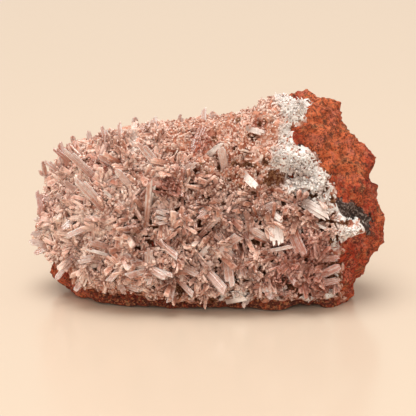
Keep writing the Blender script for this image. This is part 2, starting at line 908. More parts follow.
@dataclass(frozen=True)
class RockLump:
    """The rust-red lump: the solid's own form with a pitted, granular surface.

    Each knob is u, v, reach and height in mm, and a hollow where its height is negative.
    `fresh` is where the rust is brightest, and `coated` where it is black. Under the crust
    the surface is lower and nearly plain.
    """

    crust: CrustMap = CrustMap()
    levels: int = 3
    ledge_mm: float = 1.5
    ledge_ripple: Ripple = Ripple(9, 2.9)
    ledge_fold: float = -2.0
    ledge_rise: float = 0.6
    lump_mm: float = 1.5
    lumps: tuple[Ripple, ...] = (Ripple(5.2, 1.7), Ripple(2.6, 8.2, 0.5))
    grain: Ripple = Ripple(1.3, 4.4, 0.9)
    pit_mm: float = 1.0
    pit_size_mm: float = 2.6
    pit_rim: tuple[float, float] = (0.05, 0.35)
    foot_rise_mm: tuple[float, float] = (0.05, 2.5)
    flat_foot_mm: float = 0.12
    settle_mm: float = 0.8
    hidden_settle_mm: float = 1.6
    hidden_relief: float = 0.2
    bare_edge_mm: tuple[float, float] = (0.0, 3.0)
    soil_height_mm: tuple[float, float] = (4.0, 11.0)
    soil_left_mm: tuple[float, float] = (-50.0, -36.0)
    soil_left_share: float = 0.4
    soil_right_mm: tuple[float, float] = (42.0, 52.0)
    soil_right_loss: float = 0.7
    coat_ripple: Ripple = Ripple(2.2, 5.5, 2.4)
    coat_back_mm: float = 12.0
    fresh: Patch = Patch((), ((45, 23, 11.0), (52, 13, 5.0), (40, 37, 7.0)))
    knobs: tuple[tuple[float, float, float, float], ...] = (
        (45.9, 37.7, 3.5, 1.5), (49.5, 31.7, 4.0, -1.2), (56.2, 21.4, 5.0, 2.0),
        (58.7, 17.4, 3.5, 1.0), (60.1, 11.0, 5.0, -3.4), (61.6, 5.3, 4.5, -2.4),
        (63.0, 0.7, 4.0, -1.0), (57.3, -23.1, 7.0, -1.0), (40.0, 33.0, 3.0, 0.9),
        (47.0, 22.0, 4.0, 1.2), (42.0, 17.0, 3.0, -1.4), (54.0, 8.0, 4.0, 1.0),
        (50.0, 12.0, 3.5, -1.2), (56.0, -14.0, 4.0, 1.0), (51.0, -8.0, 3.0, -1.2),
        (52.0, -26.0, 3.0, 1.0), (-53.0, -22.5, 7.0, 4.4), (-50.0, -26.5, 5.0, 2.0),
    )
    coated: Patch = Patch(
        (
            (43.5, 3.0), (46.5, 3.0), (50.0, 2.0), (53.0, 0.6), (56.4, -1.0), (58.4, -4.6),
            (57.6, -9.0), (54.6, -8.0), (50.0, -7.6), (45.5, -5.0),
        ),
        ((33.4, 21.4, 1.6), (34.8, 20.0, 1.3), (36.8, 18.4, 1.3), (38.4, 17.2, 1.2)),
        (-1.4, 0.6),
    )

    def build(self) -> Piece:
        """Makes the lump.

        Returns:
            The object, with its finish.
        """
        mesh = smoothed_copy(ROCK, self.levels)
        points = rows(mesh.vertices, "co")
        free = smoothstep(points[:, 2] / MM, *self.foot_rise_mm)
        height = self.relief(points)[:, None] * free[:, None] * MM
        points = points + rows(mesh.vertex_normals, "vector") * height
        points[:, 2] = np.where(points[:, 2] < self.flat_foot_mm * MM, 0, points[:, 2])
        move_points(mesh, points)
        places = self.crust.plane.seen_at(points)
        store(mesh, "coating", self.coating(points))
        store(mesh, "soil", self.soil(points))
        store(mesh, "fresh", self.fresh.share(places, np.zeros(len(points))))
        shade_smooth(mesh)
        dress(mesh, RustRockFinish().material())
        return new_object("rust_rock", mesh)

    def relief(self, points: np.ndarray) -> np.ndarray:
        """How far the granular surface stands out.

        Args:
            points: One row of x, y and z in metres for each point.

        Returns:
            One height in mm for each point.
        """
        pits = np.array(
            [noise.voronoi(Vector(p))[0][0] for p in points / (self.pit_size_mm * MM)]
        )
        places = self.crust.plane.seen_at(points)
        knobs = sum(
            height * (1 - smoothstep(np.hypot(places[:, 0] - u, places[:, 1] - v), 0, reach))
            for u, v, reach, height in self.knobs
        )
        ledges = np.abs(self.ledge_ripple.at(points)) * self.ledge_fold + self.ledge_rise
        bare = 1 - smoothstep(self.crust.depth(points), *self.bare_edge_mm)
        surface = (
            self.ledge_mm * ledges
            + self.lump_mm * rippled(points, self.lumps)
            + self.grain.at(points)
            - self.pit_mm * (1 - smoothstep(pits, *self.pit_rim))
            - self.settle_mm
        )
        strength = self.hidden_relief + (1 - self.hidden_relief) * bare
        return strength * surface + knobs * bare - self.hidden_settle_mm * (1 - bare)

    def soil(self, points: np.ndarray) -> np.ndarray:
        """How dark with dirt points are: most at the foot, less at its two ends.

        Args:
            points: One row of x, y and z in metres for each point.

        Returns:
            A share from 0 to 1 for each point.
        """
        low = 1 - smoothstep(points[:, 2] / MM, *self.soil_height_mm)
        middle = smoothstep(points[:, 0] / MM, *self.soil_left_mm)
        right = smoothstep(points[:, 0] / MM, *self.soil_right_mm)
        left_share = self.soil_left_share + (1 - self.soil_left_share) * middle
        return low * left_share * (1 - self.soil_right_loss * right)

    def coating(self, points: np.ndarray) -> np.ndarray:
        """How much of the black coating lies at points, on the front only.

        Args:
            points: One row of x, y and z in metres for each point.

        Returns:
            A share from 0 to 1 for each point.
        """
        places = self.crust.plane.seen_at(points)
        share = self.coated.share(places, self.coat_ripple.at(points))
        return share * (points[:, 1] < self.coat_back_mm * MM)


# --- The crust ---


@dataclass(frozen=True)
class CrustBed:
    """The massive base of the crust, which the blades stand in.

    Its surface stores how deep inside the crust each point lies, up to `deepest_mm`, how
    many blades are kept there, and the zones.
    """

    crust: CrustMap = CrustMap()
    thickness_mm: float = 2.7
    feather_mm: float = 4.0
    sink_mm: float = 1.2
    pit_mm: float = 3.0
    swells: tuple[Ripple, ...] = (Ripple(7, 5.9), Ripple(3, 9.1, 0.6))
    grain_mm: float = 0.5
    grains: tuple[Ripple, ...] = (Ripple(1.1, 2.2), Ripple(0.7, 6.4, 0.6))
    wall_mm: float = 1.2
    least_height_mm: float = 0.6
    levels: int = 3
    deepest_mm: float = 8.0
    pit_outside_mm: float = 6.0
    thin_from_mm: float = 1.2
    thin_over_mm: float = 2.0
    fine_rim_mm: tuple[float, float] = (2.0, 7.0)
    margin_mm: float = 1.5

    def surface(self) -> Mesh:
        """The bed's outer surface as an open sheet, with the crust's zones stored on it.

        Returns:
            The sheet's mesh.
        """
        mesh = smoothed_copy(ROCK, self.levels)
        points = rows(mesh.vertices, "co")
        depth = self.crust.depth(points)
        pit = self.crust.share(Zone.PIT, points)
        share = np.sqrt(np.clip(depth / self.feather_mm, 0, 1))
        uneven = rippled(points, self.swells, 1.0)
        grain = self.grain_mm * rippled(points, self.grains)
        height = (self.thickness_mm * uneven + self.sink_mm + grain) * share - self.sink_mm
        height -= self.pit_mm * pit * share
        moved = points + rows(mesh.vertex_normals, "vector") * height[:, None] * MM
        moved[:, 2] = np.maximum(moved[:, 2], self.least_height_mm * MM)
        move_points(mesh, moved)
        inner = np.minimum(depth, self.deepest_mm)
        store(mesh, "depth", inner * (1 - pit) - self.pit_outside_mm * pit)
        kept = np.clip((depth - self.thin_from_mm) / self.thin_over_mm, 0, 1)
        store(mesh, "keep", kept * (1 - pit))
        for zone in Zone:
            share = self.crust.share(zone, moved)
            if zone is Zone.FINE:
                share = np.maximum(share, 1 - smoothstep(depth, *self.fine_rim_mm))
            if zone is Zone.WHITE:
                share = share * (1 - pit)
            store(mesh, zone.value, share)
        self.drop_faces(mesh, depth < -self.margin_mm)
        shade_smooth(mesh)
        return mesh

    @staticmethod
    def drop_faces(mesh: Mesh, outside: np.ndarray) -> None:
        """Deletes a mesh's vertices that lie outside the crust.

        Args:
            mesh: The mesh.
            outside: For each vertex, whether it goes.
        """
        work = bmesh.new()
        work.from_mesh(mesh)
        work.verts.ensure_lookup_table()
        gone = [work.verts[i] for i in np.nonzero(outside)[0]]
        bmesh.ops.delete(work, geom=gone, context="VERTS")
        work.to_mesh(mesh)
        work.free()

    def build(self, sheet: Mesh) -> Piece:
        """Makes the bed from its outer surface.

        Args:
            sheet: The surface.

        Returns:
            The object, with its finish.
        """
        thing = new_object("crust_bed_work", sheet.copy())
        wall = thing.modifiers.new("wall", "SOLIDIFY")
        wall.thickness = self.wall_mm * MM
        wall.offset = -1
        mesh = evaluated_mesh(thing)
        bpy.data.objects.remove(thing)
        points = rows(mesh.vertices, "co")
        points[:, 2] = np.maximum(points[:, 2], 0)
        move_points(mesh, points)
        dress(mesh, BedFinish().material())
        return new_object("crust_bed", mesh)


@dataclass(frozen=True)
class Lath:
    """One flat prism of a blade, in shares of the blade's width and length."""

    offset: float = 0.0
    lift: float = 0.0
    width: float = 1.0
    thickness: float = 0.42
    top: float = 1.0
    slant: float = 0.0
    bevel: float = 0.05
    tip: float = 0.72


class BladeKind(Enum):
    """The forms that blades come in, as the laths that each one is grown from."""

    TONGUE = (Lath(bevel=0.1, tip=0.55),)
    CHISEL = (Lath(slant=0.06, bevel=0.03, thickness=0.36, tip=0.86),)
    BLOCK = (Lath(bevel=0.03, thickness=0.5, tip=0.82),)
    PAIR = (
        Lath(offset=-0.2, width=0.6, top=1.0, slant=0.03, thickness=0.36, tip=0.8),
        Lath(offset=0.22, width=0.56, top=0.86, lift=0.06, thickness=0.4, tip=0.8),
    )
    BUNDLE = (
        Lath(offset=-0.3, width=0.38, top=0.88, thickness=0.36, tip=0.8),
        Lath(offset=0.0, width=0.42, top=1.0, lift=0.07, tip=0.8),
        Lath(offset=0.3, width=0.38, top=0.94, thickness=0.3, tip=0.8),
    )
    ROD = (Lath(width=0.62, thickness=0.46, tip=0.76),)
    GRAIN = (Lath(bevel=0.16, thickness=0.7, tip=0.6),)


class BladeLook(Enum):
    """The finishes of the blades."""

    PINK = BladeFinish()
    WHITE = BladeFinish(
        name="white_blades", transmission=0.05, roughness=0.3, root_share=0.7,
        root=srgb(138, 98, 78), veil_share=0.35, glow_share=0.3, clump_share=0.3, gleam=0.2,
    )
    LARGE = BladeFinish(
        name="large_pink_blades", transmission=0.3, glow_share=0.35, roughness=0.12,
        absorption=30.0, dark=srgb(200, 134, 110), deep=srgb(228, 170, 148),
        light=srgb(240, 194, 174), clear=srgb(255, 246, 242), root=srgb(186, 116, 88),
        root_share=0.8, tip_from=0.6, tip_share=0.35, ridge_share=0.9, core_share=0.6,
        veil_share=0.55, veil_fineness=700.0, streak_share=0.95, streak_fineness=9.0,
        clump_share=0.42, shine=0.5, gleam=0.6,
    )
    SUGAR = BladeFinish(
        name="sugar_grains", dark=srgb(212, 152, 128), deep=srgb(226, 172, 150),
        light=srgb(238, 196, 178), root=srgb(118, 64, 42), ridge_share=0.25, core_share=0.1,
        root_share=0.45, veil_share=0.35, shine=0.15, gleam=0.12, clump_share=0.5,
    )


class Section(Enum):
    """The sections of laths, as corners across and deep, from -1 to 1."""

    SQUARE = ((-1, -1), (1, -1), (1, 1), (-1, 1))
    FLAT = ((-1, 0), (-0.72, -1), (0.72, -1), (1, 0), (0.72, 1), (-0.72, 1))
    STRIATED = (
        (-1, 0), (-0.76, -1), (-0.34, -0.84), (-0.14, -1.04), (0.32, -0.82), (0.72, -1),
        (1, 0), (0.7, 1), (0, 0.84), (-0.7, 1),
    )


class BladeMesh:
    """Gathers laths into one mesh, with a map along each blade and its numbers.

    Each lath is three rings of points: its root, its shoulder and its top.
    """

    ROOT_WIDTH = 0.9
    MAP_HEIGHTS = (0.0, 0.9, 1.0)

    def __init__(self, section: Section = Section.FLAT) -> None:
        """Starts an empty mesh.

        Args:
            section: The section of each lath.
        """
        self.section = section.value
        self.points: list[Vector] = []
        self.faces: list[list[int]] = []
        self.uvs: list[tuple[float, float]] = []
        self.numbers: dict[str, list[float]] = {}

    def add_lath(self, lath: Lath, place: Matrix, size: tuple[float, float],
                 numbers: dict[str, float] | None = None) -> None:
        """Adds a lath.

        Args:
            lath: Its form.
            place: Where the blade's root is, with +Z along the blade and X across it.
            size: The blade's width and length.
            numbers: What is stored on each of its vertices.
        """
        width, length = size
        half, thick = lath.width / 2, lath.thickness / 2
        first = len(self.points)
        shoulder = lath.top - lath.bevel
        rings = ((0.0, self.ROOT_WIDTH), (shoulder, 1.0), (lath.top, lath.tip))
        for along, shrink in rings:
            for across, deep in self.section:
                slope = lath.slant * across if along else 0.0
                x = (lath.offset + half * across * shrink) * width
                y = (lath.lift + thick * deep * shrink) * width
                self.points.append(place @ Vector((x, y, (along + slope) * length)))
        for name, value in (numbers or {}).items():
            self.numbers.setdefault(name, []).extend([value] * len(rings) * len(self.section))
        self.wall(first)

    def wall(self, first: int) -> None:
        """Adds the faces between a lath's three rings.

        Args:
            first: The first ring's first vertex.
        """
        n = len(self.section)
        shares = [(across + 1) / 2 for across, _ in self.section]
        heights = self.MAP_HEIGHTS
        for ring in range(2):
            for i in range(n):
                j = (i + 1) % n
                low, high = first + ring * n, first + (ring + 1) * n
                self.faces.append([low + i, low + j, high + j, high + i])
                h0, h1 = heights[ring], heights[ring + 1]
                self.uvs += [(shares[i], h0), (shares[j], h0), (shares[j], h1), (shares[i], h1)]
        for ring, order in ((0, range(n - 1, -1, -1)), (2, range(n))):
            self.faces.append([first + ring * n + i for i in order])
            self.uvs += [(shares[i], heights[ring]) for i in order]

    def mesh(self, name: str) -> Mesh:
        """The gathered laths as a mesh.

        Args:
            name: Its name.

        Returns:
            The mesh.
        """
        made = bpy.data.meshes.new(name)
        made.from_pydata(self.points, [], self.faces)
        layer = made.uv_layers.new(name="blade")
        layer.data.foreach_set("uv", np.array(self.uvs, np.float32).ravel())
        for attribute, values in self.numbers.items():
            store(made, attribute, np.array(values))
        return made


@dataclass(frozen=True)
class Growth:
    """How one size of blade grows over the crust. Lengths are in mm, angles in degrees.

    Sprays of a few blades stand at least `spacing` apart, where the white zone's share lies
    within `zone_share`. `tilt` is how far a spray leans over from the surface, and `fan` how
    far its blades part to either side. `spread` is how far their roots are moved any way, and
    `sink` how deep they stand. In the fine zone the blades are shorter by `fine_cut` and
    fewer by `fine_thin`. `tint` is the range of the blades' random shade.
    """

    name: str
    spacing: float
    blades: int
    length: tuple[float, float]
    width: tuple[float, float]
    tilt: tuple[float, float]
    fan: float
    spread: float
    sink: float
    zone_share: tuple[float, float]
    kinds: tuple[BladeKind, ...]
    seed: int
    tint: tuple[float, float] = (0.0, 1.0)
    fine_cut: float = 0.0
    fine_thin: float = 0.0
    section: Section = Section.FLAT
    finish: BladeLook = BladeLook.PINK


class BladeScatter:
    """The Geometry Nodes tree that grows sprays of blades from a surface.

    A blade is dropped where its tip is lower than `CLEARANCE_MM`, and where its tip or the
    place at `CHECKED_SHARE` of its length is less than `OVERHANG_MM` inside the crust. It is
    also dropped where the line from its tip to the eye point, `SIGHT_M` long, misses the
    reach card, which stands at `CARD_SHARE` of the way from the eye point. `LEAN_JITTER` and
    `ROLL` are random turns in radians, either way. Random picks up to `LAST_PICK` go round
    the kinds. `HELPERS` are the stored values that the finished blades don't keep.
    """

    INPUTS = (
        ("Kinds", "Collection"), ("Material", "Material"), ("Spacing", "Float"),
        ("Blades", "Int"), ("Shortest", "Float"), ("Longest", "Float"),
        ("Narrowest", "Float"), ("Widest", "Float"), ("Least Tilt", "Float"),
        ("Most Tilt", "Float"), ("Fan", "Float"), ("Spread", "Float"), ("Sink", "Float"),
        ("Zone Low", "Float"), ("Zone High", "Float"), ("Tint Low", "Float"),
        ("Tint High", "Float"), ("Fine Cut", "Float"), ("Fine Thin", "Float"),
        ("Clearance", "Float"), ("Overhang", "Float"), ("Seed", "Int"),
        ("Reach", "Object"), ("Eye", "Vector"),
    )
    HELPERS = ("root_normal", "aside", "along", "lean", "length", "width", "depth")
    CLEARANCE_MM = 0.7
    OVERHANG_MM = 1.2
    MOST_PER_M2 = 4e6
    LEAN_JITTER = 0.16
    ROLL = 0.9
    CHECKED_SHARE = 0.55
    SIGHT_M = 2.0
    CARD_SHARE = 0.5
    LAST_PICK = 99

    def __init__(self, crust: CrustMap) -> None:
        """Builds the tree.

        Args:
            crust: Says how far the blades reach, seen from the eye point.
        """
        self.crust = crust
        self.tree = bpy.data.node_groups.new("blade_scatter", "GeometryNodeTree")
        self.graph = NodeGraph(self.tree)
        face = self.tree.interface
        face.new_socket("Geometry", in_out="OUTPUT", socket_type="NodeSocketGeometry")
        for name, kind in (("Geometry", "Geometry"), *self.INPUTS):
            face.new_socket(name, in_out="INPUT", socket_type="NodeSocket" + kind)
        self.source = self.graph.add("NodeGroupInput").outputs
        sprays = self.sprays(self.roots())
        blades = self.place_blades(self.clear(sprays))
        self.graph.add("NodeGroupOutput", {0: blades})

    def seed(self, salt: int) -> Socket:
        """The seed of one sequence of random numbers."""
        return self.graph.math("ADD", self.source["Seed"], float(salt))

    def random(self, low: object, high: object, salt: int) -> Socket:
        """A random number for each element.

        Args:
            low: The least.
            high: The most.
            salt: Parts this number's sequence from the others.

        Returns:
            The number's socket.
        """
        inputs = {2: low, 3: high, "Seed": self.seed(salt)}
        node = self.graph.add("FunctionNodeRandomValue", inputs, data_type="FLOAT")
        return node.outputs[1]

    def any_way(self, salt: int) -> Socket:
        """A random vector for each element, with its own sequence for each salt."""
        inputs = {0: (-1, -1, -1), 1: (1, 1, 1), "Seed": self.seed(salt)}
        return self.graph.result("FunctionNodeRandomValue", inputs, data_type="FLOAT_VECTOR")

    def number(self, name: str) -> Socket:
        """A number stored on the elements."""
        return self.graph.result("GeometryNodeInputNamedAttribute", {0: name})

    def way(self, name: str) -> Socket:
        """A vector stored on the elements."""
        return self.graph.result("GeometryNodeInputNamedAttribute", {0: name},
                                 data_type="FLOAT_VECTOR")

    def scaled(self, vector: Socket, number: object) -> Socket:
        """A vector times a number."""
        inputs = {0: vector, "Scale": number}
        return self.graph.result("ShaderNodeVectorMath", inputs, operation="SCALE")

    def keep(self, geometry: Socket, **values: Socket) -> Socket:
        """Stores numbers or vectors on the elements.

        Args:
            geometry: The elements.
            **values: What is stored, by the attributes' names.

        Returns:
            The geometry's socket.
        """
        for name, value in values.items():
            kind = "FLOAT_VECTOR" if value.type == "VECTOR" else "FLOAT"
            node = self.graph.add("GeometryNodeStoreNamedAttribute",
                                  {"Geometry": geometry, "Name": name}, data_type=kind)
            target = next(s for s in node.inputs if s.name == "Value" and s.enabled)
            self.tree.links.new(value, target)
            geometry = node.outputs[0]
        return geometry

    def both(self, *tests: Socket) -> Socket:
        """Joins tests.

        Args:
            *tests: The tests' sockets.

        Returns:
            Whether all of them hold.
        """
        result = tests[0]
        for test in tests[1:]:
            result = self.graph.result("FunctionNodeBooleanMath", {0: result, 1: test},
                                       operation="AND")
        return result

    def at_least(self, value: object, limit: object) -> Socket:
        """Whether a number is at least a limit."""
        return self.graph.result("FunctionNodeCompare", {0: value, 1: limit},
                                 operation="GREATER_EQUAL")

    def roots(self) -> Socket:
        """Lays the roots of the sprays over the surface, each with its way to lean.

        Returns:
            The points' socket.
        """
        graph, source = self.graph, self.source
        white = self.number("white")
        grown = self.both(self.at_least(white, source["Zone Low"]),
                          self.at_least(source["Zone High"], white))
        thinned = graph.times(self.number("fine"), source["Fine Thin"])
        factor = graph.times(self.number("keep"), graph.math("SUBTRACT", 1.0, thinned))
        points = graph.add(
            "GeometryNodeDistributePointsOnFaces",
            {"Mesh": source["Geometry"], "Selection": grown, "Distance Min": source["Spacing"],
             "Density Max": self.MOST_PER_M2, "Density Factor": factor, "Seed": source["Seed"]},
            distribute_method="POISSON",
        )
        normal = points.outputs["Normal"]
        aside = graph.vector("NORMALIZE", graph.vector("CROSS_PRODUCT", normal, self.any_way(1)))
        tilt = self.random(source["Least Tilt"], source["Most Tilt"], 2)
        return self.keep(points.outputs["Points"], root_normal=normal, aside=aside, lean=tilt)

    def sprays(self, roots: Socket) -> Socket:
        """Lays a few blades' places at each root, each with its direction and size.

        Args:
            roots: The roots.

        Returns:
            The points' socket.
        """
        graph, source = self.graph, self.source
        copies = graph.result("GeometryNodeDuplicateElements",
                              {"Geometry": roots, "Amount": source["Blades"]}, domain="POINT")
        normal = self.way("root_normal")
        turn = self.random(graph.times(source["Fan"], -1.0), source["Fan"], 3)
        aside = graph.result("ShaderNodeVectorRotate",
                             {"Vector": self.way("aside"), "Axis": normal, "Angle": turn})
        jitter = self.random(-self.LEAN_JITTER, self.LEAN_JITTER, 4)
        lean = graph.math("ADD", self.number("lean"), jitter)
        along = graph.vector("ADD", self.scaled(normal, graph.math("COSINE", lean)),
                             self.scaled(aside, graph.math("SINE", lean)))
        shift = graph.vector("ADD", self.scaled(normal, graph.times(source["Sink"], -1.0)),
                             self.scaled(self.any_way(5), source["Spread"]))
        moved = graph.result("GeometryNodeSetPosition", {"Geometry": copies, "Offset": shift})
        fineness = graph.times(self.number("fine"), source["Fine Cut"])
        cut = graph.math("SUBTRACT", 1.0, fineness)
        length = graph.times(self.random(source["Shortest"], source["Longest"], 6), cut)
        width = graph.times(self.random(source["Narrowest"], source["Widest"], 7), cut)
        tint = self.random(source["Tint Low"], source["Tint High"], 8)
        return self.keep(moved, along=graph.vector("NORMALIZE", along), length=length,
                         width=width, tint=tint)

    def clear(self, points: Socket) -> Socket:
        """Drops the blades that would reach the floor, the crust's edge or past its outline.

        Args:
            points: The blades' places.

        Returns:
            What is left of them.
        """
        graph, source = self.graph, self.source
        here = graph.result("GeometryNodeInputPosition")
        run = self.scaled(self.way("along"), self.number("length"))
        tip = graph.vector("ADD", here, run)
        height = graph.add("ShaderNodeSeparateXYZ", {0: tip}).outputs[2]
        part_way = graph.vector("ADD", here, self.scaled(run, self.CHECKED_SHARE))
        over = [
            graph.result("GeometryNodeSampleNearestSurface",
                         {"Mesh": source["Geometry"], "Value": self.number("depth"),
                          "Sample Position": place}, data_type="FLOAT")
            for place in (tip, part_way)
        ]
        card = graph.add("GeometryNodeObjectInfo", {"Object": source["Reach"]})
        sight = graph.vector("SUBTRACT", source["Eye"], tip)
        seen = graph.result("GeometryNodeRaycast",
                            {"Target Geometry": card.outputs["Geometry"],
                             "Source Position": tip, "Ray Direction": sight,
                             "Ray Length": self.SIGHT_M})
        good = self.both(self.at_least(height, source["Clearance"]),
                         self.at_least(graph.math("MINIMUM", *over), source["Overhang"]), seen)
        bad = graph.result("FunctionNodeBooleanMath", {0: good}, operation="NOT")
        return graph.result("GeometryNodeDeleteGeometry",
                            {"Geometry": points, "Selection": bad}, domain="POINT")

    def place_blades(self, points: Socket) -> Socket:
        """Lays a blade at each point, with its flat side mostly facing outwards.

        Args:
            points: The places.

        Returns:
            The dressed blades' socket.
        """
        graph, source = self.graph, self.source
        aimed = graph.result("FunctionNodeAxesToRotation",
                             {0: self.way("along"), 1: self.way("root_normal")},
                             primary_axis="Z", secondary_axis="Y")
        roll = graph.result("FunctionNodeAxisAngleToRotation",
                            {"Axis": (0, 0, 1), "Angle": self.random(-self.ROLL, self.ROLL, 9)})
        turned = graph.result("FunctionNodeRotateRotation", {0: aimed, 1: roll},
                              rotation_space="LOCAL")
        width = self.number("width")
        scale = graph.result("ShaderNodeCombineXYZ",
                             {0: width, 1: width, 2: self.number("length")})
        kinds = graph.result("GeometryNodeCollectionInfo",
                             {"Collection": source["Kinds"], "Separate Children": True,
                              "Reset Children": True})
        pick = graph.add("FunctionNodeRandomValue",
                         {4: 0, 5: self.LAST_PICK, "Seed": source["Seed"]}, data_type="INT")
        blades = graph.result(
            "GeometryNodeInstanceOnPoints",
            {"Points": points, "Instance": kinds, "Pick Instance": True,
             "Instance Index": pick.outputs[2], "Rotation": turned, "Scale": scale},
        )
        real = graph.result("GeometryNodeRealizeInstances", {0: blades})
        for name in self.HELPERS:
            real = graph.result("GeometryNodeRemoveAttribute", {0: real, "Name": name})
        return graph.result("GeometryNodeSetMaterial",
                            {"Geometry": real, "Material": source["Material"]})

    def reach_card(self) -> Piece:
        """A flat card near the eye point, cut to the outline that the blades stay inside.

        Returns:
            The card.
        """
        plane = self.crust.plane
        corners = [
            plane.eye + (plane.place(u, v) - plane.eye) * self.CARD_SHARE
            for u, v in self.crust.reach
        ]
        mesh = bpy.data.meshes.new("reach_card")
        mesh.from_pydata(corners, [], [tuple(range(len(corners)))])
        return new_object("reach_card", mesh)

    def grow(self, sheet: Mesh, growth: Growth, material: Material) -> Piece:
        """Grows blades from a surface.

        Args:
            sheet: The surface, with the crust's zones stored on it.
            growth: The blades' sizes and places.
            material: Their material.

        Returns:
            One plain mesh object with all the blades.
        """
        kinds = self.kind_collection(growth)
        card = self.reach_card()
        carrier = new_object(growth.name + "_carrier", sheet.copy())
        modifier = carrier.modifiers.new("blades", "NODES")
        modifier.node_group = self.tree
        for name, value in {
            "Kinds": kinds, "Material": material, "Spacing": growth.spacing * MM,
            "Blades": growth.blades, "Shortest": growth.length[0] * MM,
            "Longest": growth.length[1] * MM, "Narrowest": growth.width[0] * MM,
            "Widest": growth.width[1] * MM, "Least Tilt": math.radians(growth.tilt[0]),
            "Most Tilt": math.radians(growth.tilt[1]), "Fan": math.radians(growth.fan),
            "Spread": growth.spread * MM, "Sink": growth.sink * MM,
            "Zone Low": growth.zone_share[0], "Zone High": growth.zone_share[1],
            "Tint Low": growth.tint[0], "Tint High": growth.tint[1],
            "Fine Cut": growth.fine_cut, "Clearance": self.CLEARANCE_MM * MM,
            "Overhang": self.OVERHANG_MM, "Seed": growth.seed,
            "Fine Thin": growth.fine_thin, "Reach": card, "Eye": self.crust.plane.eye,
        }.items():
            modifier[self.identifier(name)] = value
        carrier.update_tag()
        mesh = evaluated_mesh(carrier)
        for helper in (carrier, card):
            bpy.data.objects.remove(helper)
        for kind in list(kinds.objects):
            bpy.data.objects.remove(kind)
        bpy.data.collections.remove(kinds)
        dress(mesh, material)
        shade_smooth(mesh, False)
        return new_object(growth.name, mesh)

    def identifier(self, name: str) -> str:
        """The identifier of one of the tree's inputs.

        Args:
            name: The input's name.

        Returns:
            The identifier.
        """
        return next(
            item.identifier for item in self.tree.interface.items_tree
            if item.name == name and item.in_out == "INPUT"
        )

    @staticmethod
    def kind_collection(growth: Growth) -> bpy.types.Collection:
        """Blades of unit size, one for each kind.

        Args:
            growth: The growth that uses them.

        Returns:
            A collection outside the scene that holds them.
        """
        group = bpy.data.collections.new("blade_kinds")
        for kind in growth.kinds:
            blade = BladeMesh(growth.section)
            for lath in kind.value:
                blade.add_lath(lath, Matrix.Identity(4), (1.0, 1.0))
            group.objects.link(bpy.data.objects.new("kind", blade.mesh("kind")))
        return group


